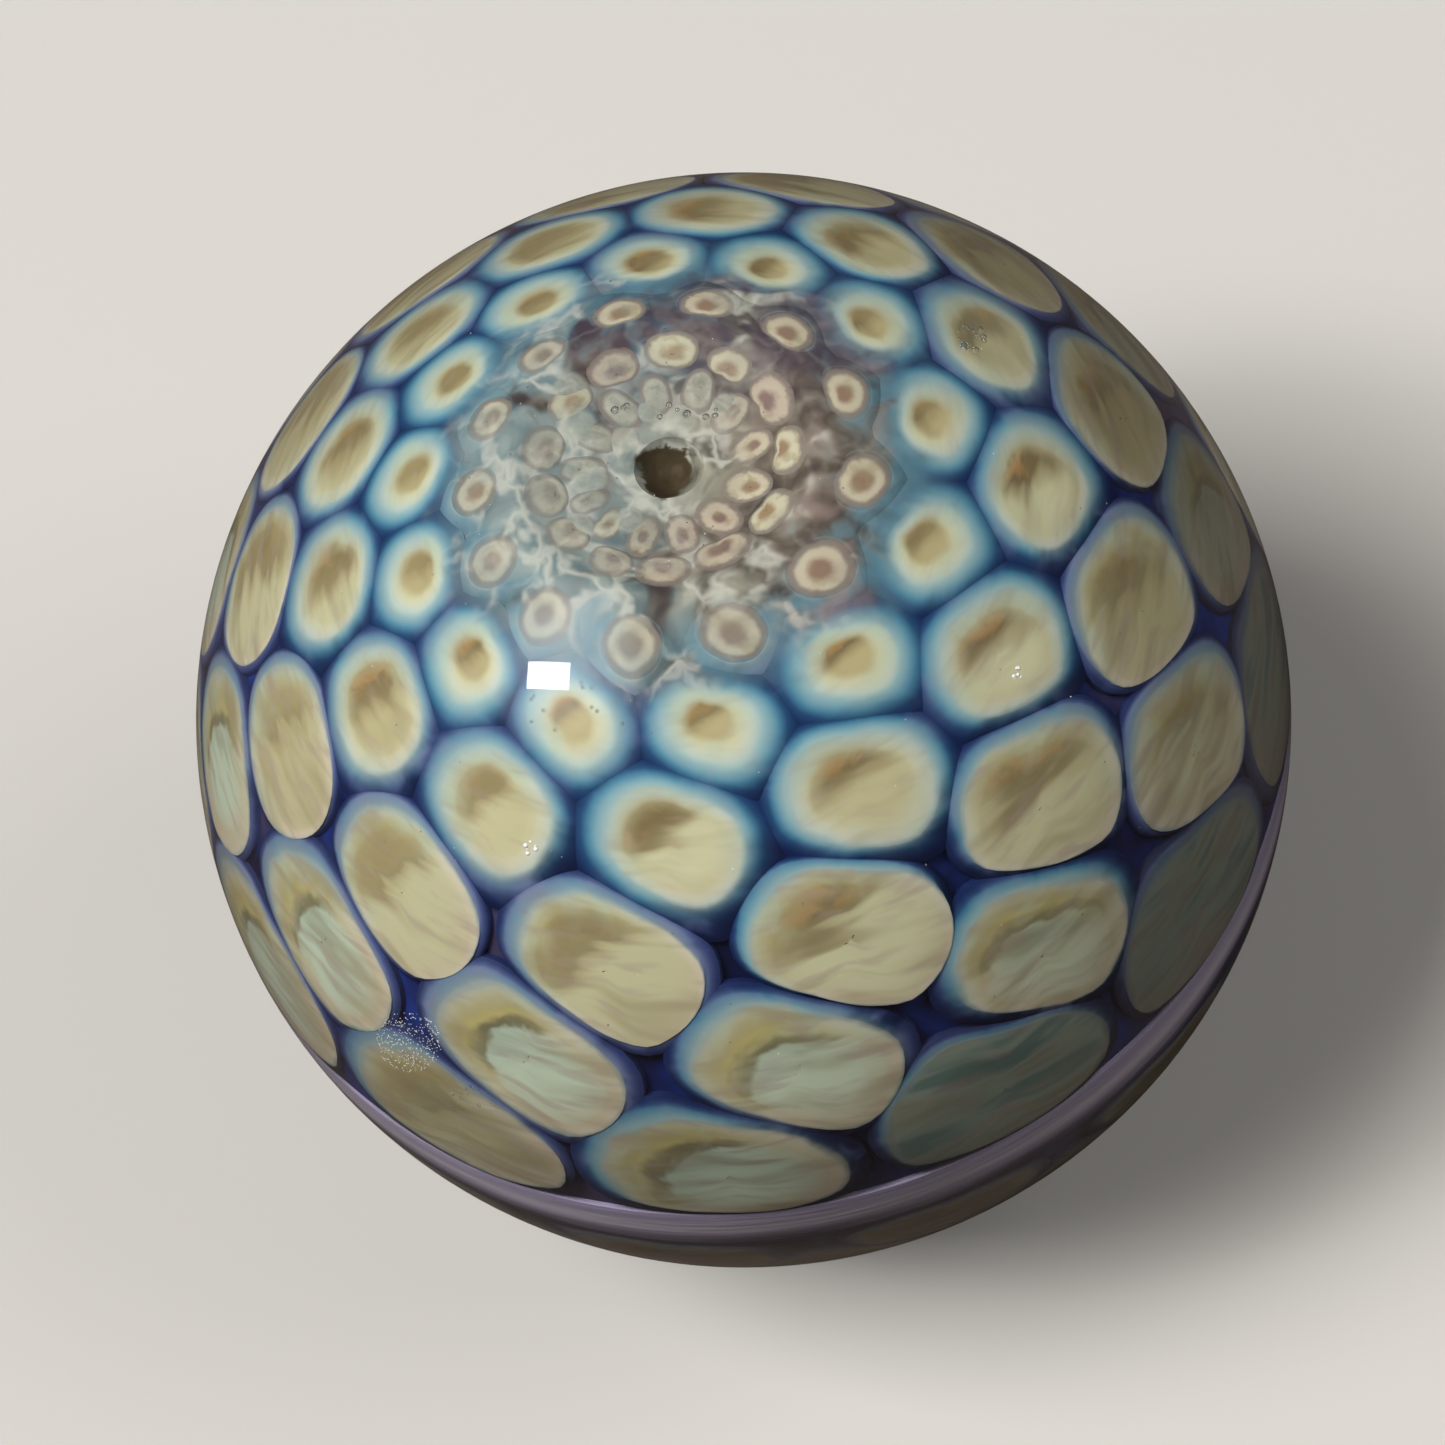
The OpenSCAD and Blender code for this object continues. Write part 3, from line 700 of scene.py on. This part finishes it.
def stackColour(tree):
    # heart, cream and rim in one rule, so that each glass melts into the next
    spot, cast, paint, side, near, zone = readDot(tree)
    streak, cloud = addStreaks(tree, spot, 0.9, 3.6, 2.0)
    fine, speck = addStreaks(tree, spot, 1.8, 7.0, 6.0)
    soft = noiseOf(tree, calcVector(tree, "SCALE", addNode(tree, "ShaderNodeTexCoord").outputs["Object"],
                                    scale=1000.0), 0.55, 2.0, 0.55, 0.5)
    warm, pale, pool = split(tree, paint)
    reachOut = calc(tree, "MULTIPLY", side, calc(tree, "MULTIPLY_ADD", near, 1.6, 1.4))
    slope = jitter(tree, reachOut, streak, calc(tree, "MULTIPLY_ADD", near, -0.9, 1.9))
    edge = jitter(tree, zone, cloud, calc(tree, "MULTIPLY_ADD", near, -0.45, 0.7))
    edge = jitter(tree, edge, soft, calc(tree, "MULTIPLY_ADD", near, -0.25, 0.5))
    # the heart: painted shade, brown with amber in it, on its upper side and painted light, pale, on its lower
    # side, as on the walls of a lit hollow; the pool is paler on the lit side and its dark ring shows on the shaded
    # side
    colour = mixColour(tree, calc(tree, "MULTIPLY", remap(tree, slope, 0.4, -0.6), pale),
                       heartLook["olive"], heartLook["pale"])
    shade = remap(tree, calc(tree, "MULTIPLY_ADD", near, 0.45, slope), -0.2, 0.9)
    colour = mixColour(tree, calc(tree, "MULTIPLY", shade, warm), colour, heartLook["brown"])
    # amber laid into the heart's painted shade
    shadeAmber = calc(tree, "MULTIPLY", remap(tree, slope, 0.2, 0.8), remap(tree, cloud, 0.42, 0.56))
    shadeAmber = calc(tree, "MULTIPLY", shadeAmber, remap(tree, warm, 0.5, 1.2, 0.15, 0.85))
    colour = mixColour(tree, shadeAmber, colour, heartLook["amber"])
    # a thin dark line part way across the painted shade
    slopeLine = calc(tree, "MULTIPLY", remap(tree, slope, -0.02, 0.16), remap(tree, slope, 0.4, 0.18))
    slopeLine = calc(tree, "MULTIPLY", slopeLine, calc(tree, "MULTIPLY_ADD", near, -0.2, 0.3))
    colour = mixColour(tree, slopeLine, colour, heartLook["line"])
    shore = mixColour(tree, remap(tree, slope, -0.4, 0.4), creamLook["peach"], heartLook["yellow"])
    ring = calc(tree, "MULTIPLY", remap(tree, edge, 0.4, 0.8), remap(tree, pool, 0.0, 0.7, 0.0, 0.95))
    colour = mixColour(tree, ring, colour, shore)
    lens = mixColour(tree, remap(tree, slope, 0.5, -0.5), heartLook["pool"], heartLook["poolLitSide"])
    depth = jitter(tree, edge, side, 0.6)
    colour = mixColour(tree, calc(tree, "MULTIPLY", remap(tree, depth, 0.78, 0.5), pool), colour, lens)
    line = calc(tree, "MULTIPLY", remap(tree, depth, 0.44, 0.6), remap(tree, depth, 0.95, 0.7))
    line = calc(tree, "MULTIPLY", line, remap(tree, slope, -0.4, 0.3))
    line = calc(tree, "MULTIPLY", line, remap(tree, pool, 0.0, 0.8, 0.0, 0.95))
    colour = mixColour(tree, line, colour, heartLook["line"])
    # the cream, darker with painted shade on its upper side and paler with painted light on its lower side
    across = calc(tree, "SUBTRACT", edge, 1.0)
    lower = remap(tree, jitter(tree, side, streak, 0.7), 0.45, -0.4)
    nearCream = mixColour(tree, lower, ramp(tree, across, creamLook["nearUpperShaded"]),
                          ramp(tree, across, creamLook["nearLowerLit"]))
    farCream = mixColour(tree, lower, ramp(tree, across, creamLook["farUpperShaded"]),
                         ramp(tree, across, creamLook["farLowerLit"]))
    cream = mixColour(tree, near, farCream, nearCream)
    cream = mixColour(tree, remap(tree, soft, 0.46, 0.66, 0.0, 0.5), cream, creamLook["green"])
    low = calc(tree, "MULTIPLY", remap(tree, side, -0.1, -0.8), remap(tree, across, 1.0, 0.6))
    low = calc(tree, "MULTIPLY", low, calc(tree, "MULTIPLY_ADD", near, -0.4, 0.5))
    cream = mixColour(tree, low, cream, creamLook["peach"])
    start = calc(tree, "MULTIPLY_ADD", near, 0.2, 0.5)
    stop = calc(tree, "MULTIPLY_ADD", near, -0.2, 1.35)
    blend = addNode(tree, "ShaderNodeMapRange", {"Value": edge, "From Min": start, "From Max": stop},
                    interpolation_type="SMOOTHSTEP").outputs[0]
    colour = mixColour(tree, blend, colour, cream)
    # cells flooded by their pool: teal glass, streaked, and kept dark as painted shade where the lamps reach it
    # poorly
    flood = calc(tree, "MULTIPLY", remap(tree, pool, 1.0, 1.6), remap(tree, edge, 2.2, 1.7))
    poolFloodShaded = mixColour(tree, remap(tree, streak, 0.35, 0.6), heartLook["deepPoolShaded"], heartLook["pool"])
    poolFloodShaded = mixColour(tree, remap(tree, slope, -0.3, -1.1, 0.0, 0.6), poolFloodShaded, creamLook["peach"])
    colour = mixColour(tree, calc(tree, "MULTIPLY", flood, 0.92), colour, poolFloodShaded)
    drawn = calc(tree, "MULTIPLY_ADD", near, -0.75, 1.0)
    colour = mixColour(tree, calc(tree, "MULTIPLY", remap(tree, streak, 0.42, 0.74, 0.0, 0.65), drawn), colour,
                       creamLook["streak"])
    colour = mixColour(tree, calc(tree, "MULTIPLY", remap(tree, fine, 0.5, 0.72, 0.0, 0.5), drawn), colour,
                       creamLook["mauve"])
    # the rim, wide and pale on the side that the light comes from
    outer = calc(tree, "DIVIDE", calc(tree, "SUBTRACT", edge, 2.0), 2.4)
    cool = jitter(tree, split(tree, cast)[1], soft, 1.6)
    lit = mixColour(tree, calc(tree, "MINIMUM", calc(tree, "MAXIMUM", cool, 0.0), 1.0),
                    ramp(tree, outer, rimLook["lit"]), ramp(tree, outer, rimLook["turquoise"]))
    facing = jitter(tree, jitter(tree, side, streak, 0.8), calc(tree, "ADD", near, 0.5), 1.15)
    shaded = mixColour(tree, remap(tree, cool, 0.8, 0.3), ramp(tree, outer, rimLook["shaded"]),
                       ramp(tree, outer, rimLook["milky"]))
    rim = mixColour(tree, remap(tree, facing, -0.4, 0.5), shaded, lit)
    colour = mixColour(tree, remap(tree, edge, 1.75, 2.15), colour, rim)
    smokeColour, haze, inside, left = addFunnelCast(tree)
    veil = calc(tree, "MULTIPLY", inside, remap(tree, edge, 1.4, 2.3))
    colour = mixColour(tree, veil, colour, smokeColour)
    return darkenInShade(tree, colour, cast), streak


def makeStack(name, roughness, bump):
    material, tree = newMaterial(name)
    colour, streak = stackColour(tree)
    finishMaterial(tree, colour, roughness, streak, bump)
    return material


def makeGround():
    material, tree = newMaterial("cobaltGlass")
    spot = addNode(tree, "ShaderNodeTexCoord").outputs["Object"]
    cloud = noiseOf(tree, spot, 260.0, 3.0, 0.6, 0.4)
    colour = ramp(tree, cloud, [(0.36, (0.004, 0.005, 0.02)), (0.5, (0.008, 0.016, 0.1)),
                                (0.66, (0.012, 0.04, 0.22))])
    murk = remap(tree, noiseOf(tree, spot, 140.0, 2.0), 0.56, 0.66)
    colour = mixColour(tree, calc(tree, "MULTIPLY", murk, 0.6), colour, (0.06, 0.04, 0.05))
    finishMaterial(tree, colour, 0.4)
    return material


def makeBand():
    material, tree = newMaterial("lilacGlass")
    spot = addNode(tree, "ShaderNodeTexCoord").outputs["Object"]
    parts = split(tree, spot)
    fibres = noiseOf(tree, combine(tree, parts[0], parts[1], calc(tree, "MULTIPLY", parts[2], 14.0)),
                     150.0, 3.0, 0.6)
    height = calc(tree, "DIVIDE", parts[2], mm)
    across = remap(tree, height, -4.4, -1.75)
    across = jitter(tree, across, fibres, 0.35)
    colour = ramp(tree, across, [(0.0, (0.01, 0.012, 0.05)), (0.12, (0.12, 0.1, 0.2)),
                                 (0.45, (0.5, 0.45, 0.58)), (0.7, (0.6, 0.55, 0.66)),
                                 (1.0, (0.24, 0.21, 0.34))])
    finishMaterial(tree, colour, 0.4, fibres, 0.2)
    return material


def makeSmoke():
    material, tree = newMaterial("smokyGlass")
    smokeColour, haze, inside, left = addFunnelCast(tree)
    finishMaterial(tree, smokeColour, 0.5, haze, 0.3)
    return material


def makeSeed(name):
    material, tree = newMaterial(name)
    spot, cast, paint, side, near, zone = readDot(tree)
    rose, yellow, milk = split(tree, paint)
    streak, cloud = addStreaks(tree, spot, 2.0, 2.0, 6.0)
    smokeColour, haze, inside, left = addFunnelCast(tree)
    edge = jitter(tree, zone, cloud, 0.6)
    eye = mixColour(tree, rose, (0.27, 0.19, 0.1), (0.16, 0.1, 0.095))
    body = mixColour(tree, rose, (0.45, 0.43, 0.3), (0.37, 0.31, 0.24))
    colour = mixColour(tree, remap(tree, edge, 0.45, 1.1), eye, body)
    colour = mixColour(tree, remap(tree, streak, 0.52, 0.7, 0.0, 0.5), colour, creamLook["streak"])
    colour = mixColour(tree, milk, colour, ramp(tree, cloud, [(0.35, (0.17, 0.18, 0.15)),
                                                              (0.65, (0.34, 0.35, 0.29))]))
    colour = mixColour(tree, remap(tree, edge, 1.3, 1.65, 0.0, 0.75), colour, (0.11, 0.085, 0.085))
    veil = calc(tree, "MAXIMUM", calc(tree, "MULTIPLY", haze, 0.55), remap(tree, edge, 1.65, 2.05))
    colour = mixColour(tree, veil, colour, smokeColour)
    finishMaterial(tree, colour, 0.5, cloud, 0.1)
    return material


def makeMilk():
    material, tree = newMaterial("milkyGlass")
    spot, cast, paint, side, near, zone = readDot(tree)
    streak, cloud = addStreaks(tree, spot, 1.0, 1.0, 6.0)
    smokeColour, haze, inside, left = addFunnelCast(tree)
    colour = ramp(tree, cloud, [(0.35, (0.2, 0.215, 0.18)), (0.65, (0.36, 0.37, 0.3))])
    film = calc(tree, "MULTIPLY", remap(tree, zone, 1.0, 1.5), remap(tree, zone, 1.9, 1.5))
    colour = mixColour(tree, calc(tree, "MULTIPLY", film, 0.4), colour, (0.44, 0.44, 0.38))
    melt = remap(tree, jitter(tree, zone, cloud, 1.2), 1.2, 1.9, 0.5, 1.0)
    colour = mixColour(tree, melt, colour, smokeColour)
    finishMaterial(tree, colour, 0.35, cloud, 0.05)
    return material


# bright pale specks: at the two lamp glints they are painted highlights, elsewhere frost and dust
def makeGlintChip():
    material, tree = newMaterial("glintChipGlass")
    spot = addNode(tree, "ShaderNodeTexCoord").outputs["Object"]
    grain = noiseOf(tree, spot, 4000.0)
    finishMaterial(tree, ramp(tree, grain, [(0.3, (0.55, 0.56, 0.56)), (0.7, (0.88, 0.88, 0.85))]), 0.3, grain, 0.1)
    return material


def makePit():
    material, tree = newMaterial("pitGlass")
    spot = addNode(tree, "ShaderNodeTexCoord").outputs["Object"]
    cloud = noiseOf(tree, spot, 800.0, 3.0, 0.6, 0.6)
    colour = ramp(tree, cloud, [(0.3, (0.03, 0.02, 0.01)), (0.6, (0.06, 0.045, 0.025)),
                                (0.75, (0.1, 0.08, 0.05))])
    smokeColour, haze, inside, left = addFunnelCast(tree)
    reach = calcVector(tree, "LENGTH", calcVector(tree, "MULTIPLY", spot, (1, 1, 0)))
    reach = jitter(tree, calc(tree, "DIVIDE", reach, mm), cloud, 2.4)
    colour = mixColour(tree, remap(tree, reach, 0.76, 1.0), colour, smokeColour)
    finishMaterial(tree, colour, 0.4, cloud, 0.3)
    return material


def makeClear(name, density):
    material, tree = newMaterial(name)
    spot = addNode(tree, "ShaderNodeTexCoord").outputs["Object"]
    wipe = noiseOf(tree, spot, 120.0, 3.0, 0.6, 1.0)
    glass = addNode(tree, "ShaderNodeBsdfPrincipled", {
        "Base Color": (0.97, 0.98, 0.98, 1), "IOR": density, "Transmission Weight": 1.0,
        "Roughness": remap(tree, wipe, 0.45, 0.75, 0.0, 0.03)})
    path = addNode(tree, "ShaderNodeLightPath").outputs
    through = calc(tree, "MAXIMUM", path["Is Shadow Ray"], path["Is Diffuse Ray"])
    mix = addNode(tree, "ShaderNodeMixShader", {0: through, 1: glass.outputs[0],
                                                2: addNode(tree, "ShaderNodeBsdfTransparent").outputs[0]})
    output = addNode(tree, "ShaderNodeOutputMaterial")
    tree.links.new(mix.outputs[0], output.inputs["Surface"])
    return material


looks = {
    "clear": makeClear("clearGlass", 1.47), "bubble": makeClear("trappedAir", 0.68), "cobalt": makeGround(), "halo": makeStack("haloGlass", 0.5, 0.03),
    "ivory": makeStack("ivoryGlass", 0.5, 0.05), "olive": makeStack("oliveGlass", 0.45, 0.06),
    "teal": makeStack("tealGlass", 0.4, 0.06),
    "lilac": makeBand(), "smoke": makeSmoke(), "rose": makeSeed("roseGlass"),
    "plum": makeSeed("plumGlass"), "pit": makePit(),
    "milk": makeMilk(), "glintChip": makeGlintChip(),
}
print("materials made:", len(looks))

# the stacked dots
stack = {"Around": 48, "Across": 4, "Layer Radius": layerRadius * mm, "Thickness": 0.4 * mm,
         "Squareness": 8.0, "Angular": 0.3, "Wobble": 0.18, "Hollow": 0.08 * mm, "Rim Sink": 0.02 * mm,
         "Sink": 0.02 * mm, "Dome": 0.0, "Seed": 3.0}
dotTree = buildDotTree("stackedDot", False)
seedTree = buildDotTree("funnelSeed", True)


def plant(name, dotList, tree, look, slot, nodes, **values):
    piece = makeDotPoints(name, dotList)
    bake(piece, tree, {**stack, "Material": looks[look], **values})
    return finish(piece, slot, *nodes)


onLayer = [dot for dot in dots if dot["ring"] > lipSeeds]
onLip = [dot for dot in dots if dot["ring"] == lipSeeds]
tealRings = (6, 7)
plant("turquoiseRims", onLayer, dotTree, "halo", "turquoise_glass", ["turquoise_rims"],
      **{"From Zone": 2.0, "To Zone": 4.6, "Across": 8})
plant("creamRings", onLayer, dotTree, "ivory", "cream_glass", ["cream_rings"],
      **{"From Zone": 1.0, "To Zone": 2.0, "Across": 5})
plant("oliveHearts", [dot for dot in onLayer if dot["ring"] not in tealRings], dotTree, "olive",
      "olive_glass", ["olive_hearts"], **{"From Zone": 0.0, "To Zone": 1.0, "Across": 8})
plant("tealHearts", [dot for dot in onLayer if dot["ring"] in tealRings], dotTree, "teal",
      "teal_glass", ["teal_hearts"], **{"From Zone": 0.0, "To Zone": 1.0, "Across": 8})
seedShape = {"Hollow": 0.0, "Dome": 0.11 * mm, "Sink": 0.015 * mm, "Angular": 0.1, "Wobble": 0.4}
lipShape = {**seedShape, "Sink": 0.05 * mm, "Dome": 0.04 * mm, "Rim Sink": 0.06 * mm}
plant("lipHalos", onLip, dotTree, "halo", "smoke_glass", [],
      **{**lipShape, "From Zone": 2.0, "To Zone": 4.2, "Across": 8})
plant("lipSeeds", onLip, dotTree, "rose", "rose_glass", [],
      **{**lipShape, "From Zone": 1.0, "To Zone": 2.0})
plant("lipEyes", onLip, dotTree, "plum", "plum_glass", [],
      **{**lipShape, "From Zone": 0.0, "To Zone": 1.0})
plant("roseSeeds", seeds, seedTree, "rose", "rose_glass", ["rose_seeds"],
      **{**seedShape, "From Zone": 1.0, "To Zone": 2.0, "Around": 28})
plant("plumEyes", seeds, seedTree, "plum", "plum_glass", ["plum_eyes"],
      **{**seedShape, "From Zone": 0.0, "To Zone": 1.0, "Around": 28})
plant("milkyBlobs", blobs, seedTree, "milk", "smoke_glass", [],
      **{**seedShape, "From Zone": 0.0, "To Zone": 2.0, "Around": 28, "Dome": 0.1 * mm})
print("dots planted")

# the ground under the dots, the band and the funnel
under = layerRadius - 0.5
ground = lathe("cobaltGround", [(0, smokeBottom), (smokeRadius * 0.99, smokeBottom)]
               + arc(under, pattern["smokeAt"] - 0.3, 180, 120)[:-1] + [(0, -under)],
               160, False, looks["cobalt"])
finish(ground, "cobalt_glass", "cobalt_ground")
band = {"bulge": 0.06, "thickness": 0.6, "across": 14}
bandProfile = []
for i in range(band["across"] + 1):
    t = i / band["across"]
    at = math.radians(pattern["bandTop"] + (pattern["bandBottom"] - pattern["bandTop"]) * t)
    r = layerRadius - 0.01 - band["bulge"] * (2 * t - 1) ** 4
    bandProfile.append((r * math.sin(at), r * math.cos(at)))
inner = layerRadius - band["thickness"]
bandProfile += list(reversed(arc(inner, pattern["bandTop"], pattern["bandBottom"], 4)))
finish(lathe("lilacBand", bandProfile, 160, True, looks["lilac"]), "lilac_glass", "lilac_band")


def dishAt(reach):
    return dishHeight - math.sqrt(dishRadius ** 2 - reach ** 2)


smokeProfile = [(0, smokeBottom)]
pitRim = funnel["pitWidth"] / 2 + funnel["pitWall"]
smokeProfile += [(pitRim, smokeBottom)]
smokeProfile += [(pitRim + (lipRadius - pitRim) * i / 20, dishAt(pitRim + (lipRadius - pitRim) * i / 20))
                 for i in range(20)]
for i in range(13):  # over the lip, then down under the dots
    at = math.radians(pattern["lipAt"] + 0.3 + (pattern["smokeAt"] - pattern["lipAt"] - 0.3) * i / 12)
    r = layerRadius - 0.05 - 0.3 * (i / 12) ** 3
    smokeProfile.append((r * math.sin(at), r * math.cos(at)))
smokeProfile += [(smokeProfile[-1][0], smokeBottom)]
smoke = lathe("smokeFunnel", smokeProfile[1:], 160, True, looks["smoke"])
finish(smoke, "smoke_glass", "smoke_funnel")
pitProfile = []
for i in range(13):
    r = funnel["pitWidth"] / 2 * i / 12
    pitProfile.append((r, pitBottom + (dishAt(funnel["pitWidth"] / 2) - pitBottom) * (i / 12) ** 2.5))
pitProfile += [(pitRim, dishAt(pitRim)), (pitRim, smokeBottom), (0, smokeBottom)]
finish(lathe("olivePit", pitProfile, 64, False, looks["pit"]), "pit_glass", "olive_pit")

# the clear casing
bpy.ops.mesh.primitive_uv_sphere_add(segments=192, ring_count=96, radius=ball["radius"] * mm)
casing = bpy.context.active_object
casing.name = casing.data.name = "clearCasing"
bpy.ops.object.shade_smooth()
casing.data.materials.append(looks["clear"])
finish(casing, "clear_glass", "clear_casing")
print("casing made")

# bubbles in the clear glass, and pale specks: the first two speck patches are painted glints where the lamps
# shine back, the others a frosted patch and dust. where: right and up as the camera sees the ball, in shares of
# its radius, then how many, how wide the patch is, its bubbles' radius in millimetres and their depth
glintAndChipSpots = [
    ((0.475, 0.085), 7, (0.012, 0.02), 0.08, 0.1), ((-0.371, -0.223), 6, (0.012, 0.015), 0.08, 0.1),
    ((-0.596, -0.572), 420, (0.06, 0.055), 0.021, 0.04), ((0.0, 0.1), 30, (0.8, 0.75), 0.02, 0.06),
]
bubbleSpots = [
    ((0.42, 0.695), 16, (0.035, 0.03), 0.13, 1.1),
    ((-0.51, -0.687), 12, (0.05, 0.02), 0.07, 1.1), ((0.0, 0.1), 60, (0.8, 0.75), 0.035, 0.3),
    ((-0.14, 0.555), 11, (0.1, 0.02), 0.14, 1.0), ((-0.29, 0.02), 14, (0.1, 0.05), 0.06, 0.5),
]


def buildBubbles():
    tree = bpy.data.node_groups.new("bubbles", "GeometryNodeTree")
    given, result = addSockets(tree, {"Geometry": "geometry", "Facets": "int", "Material": "material"},
                               {"Geometry": "geometry"})
    drop = addNode(tree, "GeometryNodeMeshIcoSphere", {"Radius": 1.0, "Subdivisions": given["Facets"]})
    size = addNode(tree, "GeometryNodeInputNamedAttribute", {"Name": "size"}, data_type="FLOAT")
    made = addNode(tree, "GeometryNodeInstanceOnPoints", {
        "Points": given["Geometry"], "Instance": drop.outputs["Mesh"], "Scale": size.outputs["Attribute"]})
    made = addNode(tree, "GeometryNodeRealizeInstances", {"Geometry": made.outputs[0]}).outputs[0]
    made = addNode(tree, "GeometryNodeSetShadeSmooth", {"Geometry": made}).outputs[0]
    made = addNode(tree, "GeometryNodeSetMaterial", {"Geometry": made, "Material": given["Material"]})
    connect(tree, result["Geometry"], made.outputs[0])
    return tree


def scatter(name, spots, look, slot):
    places, sizes = [], []
    for (right, up), count, (wide, high), size, depth in spots:
        for i in range(count):
            turn, away = draw.uniform(0, 2 * math.pi), math.sqrt(draw.random())
            x, y = right + wide * away * math.cos(turn), up + high * away * math.sin(turn)
            here = size * draw.uniform(0.5, 1.2)
            if x * x + y * y < 0.94:
                towards = viewRight * x + viewUp * y + viewOut * math.sqrt(1 - x * x - y * y)
                places.append(towards * (ball["radius"] - max(depth, here + 0.02)) * mm)
                sizes.append(here * mm)
    mesh = bpy.data.meshes.new(name)
    mesh.from_pydata(places, [], [])
    mesh.attributes.new("size", "FLOAT", "POINT").data.foreach_set("value", sizes)
    piece = bpy.data.objects.new(name, mesh)
    bpy.context.scene.collection.objects.link(piece)
    bake(piece, bubbleTree, {"Facets": 2, "Material": looks[look]})
    finish(piece, slot)
    print(name + ":", len(sizes))


bubbleTree = buildBubbles()
scatter("bubbles", bubbleSpots, "bubble", "clear_glass")
scatter("glintsAndChips", glintAndChipSpots, "glintChip", "cream_glass")

# floor, light and camera
stage = {"floor": (0.5, 0.485, 0.46), "mirrored": (0.07, 0.055, 0.045), "world": (0.8, 0.82, 0.85), "worldStrength": 0.1}
bpy.ops.mesh.primitive_plane_add(size=6, location=(0, 0, -ball["radius"] * mm))
floor = bpy.context.active_object
floor.name = "floor"
floorMaterial, tree = newMaterial("paleFloor")
seen = addNode(tree, "ShaderNodeLightPath").outputs["Is Camera Ray"]  # pale to the camera alone
shader = addNode(tree, "ShaderNodeBsdfPrincipled", {
    "Base Color": mixColour(tree, seen, stage["mirrored"], stage["floor"]), "Roughness": 0.7,
    "Specular IOR Level": 0.2})
tree.links.new(shader.outputs[0], addNode(tree, "ShaderNodeOutputMaterial").inputs["Surface"])
floor.data.materials.append(floorMaterial)

scene = bpy.context.scene
scene.view_settings.view_transform = "Standard"
world = bpy.data.worlds.new("softRoom")
world.use_nodes = True
world.node_tree.nodes["Background"].inputs[0].default_value = (*stage["world"], 1)
world.node_tree.nodes["Background"].inputs[1].default_value = stage["worldStrength"]
scene.world = world


def fromView(right, up, out):
    return viewRight * right + viewUp * up + viewOut * out


def addLamp(name, towards, distance, width, height, power, colour=(1, 1, 1), shine=True):
    lamp = bpy.data.lights.new(name, "AREA")
    lamp.shape = "RECTANGLE"
    lamp.size, lamp.size_y, lamp.energy, lamp.color = width, height, power, colour
    holder = bpy.data.objects.new(name, lamp)
    scene.collection.objects.link(holder)
    holder.location = towards.normalized() * distance
    back = towards.normalized()
    side = viewUp.cross(back).normalized()
    holder.rotation_euler = Matrix((side, back.cross(side), back)).transposed().to_euler()
    holder.visible_glossy = shine
    return holder


addLamp("keyWindow", fromView(-0.644, 0.146, 0.752), 0.6, 0.095, 0.054, 0.45, (1, 0.98, 0.94))
glow = addLamp("keyGlow", fromView(-0.61, 0.2, 0.765), 0.62, 0.4, 0.4, 0.08, (0.95, 0.97, 1))
glow.data.shape, glow.data.spread = "ELLIPSE", math.radians(36)
addLamp("keySoft", fromView(-0.56, 0.24, 0.79), 0.9, 0.4, 0.4, 8.9, (1, 0.98, 0.95), False)
addLamp("fillSoft", fromView(0.58, 0.4, 0.71), 0.9, 0.5, 0.5, 3.0, (1, 0.98, 0.95), False)

cameraData = bpy.data.cameras.new("camera")
camera = bpy.data.objects.new("camera", cameraData)
scene.collection.objects.link(camera)
cameraData.sensor_width, cameraData.lens = 36, 251
cameraData.clip_start = 0.01
camera.location = viewOut * 0.350 - viewRight * 0.00073 - viewUp * 0.00009
camera.rotation_euler = Matrix((viewRight, viewUp, viewOut)).transposed().to_euler()
scene.camera = camera
print("camera and lamps set")
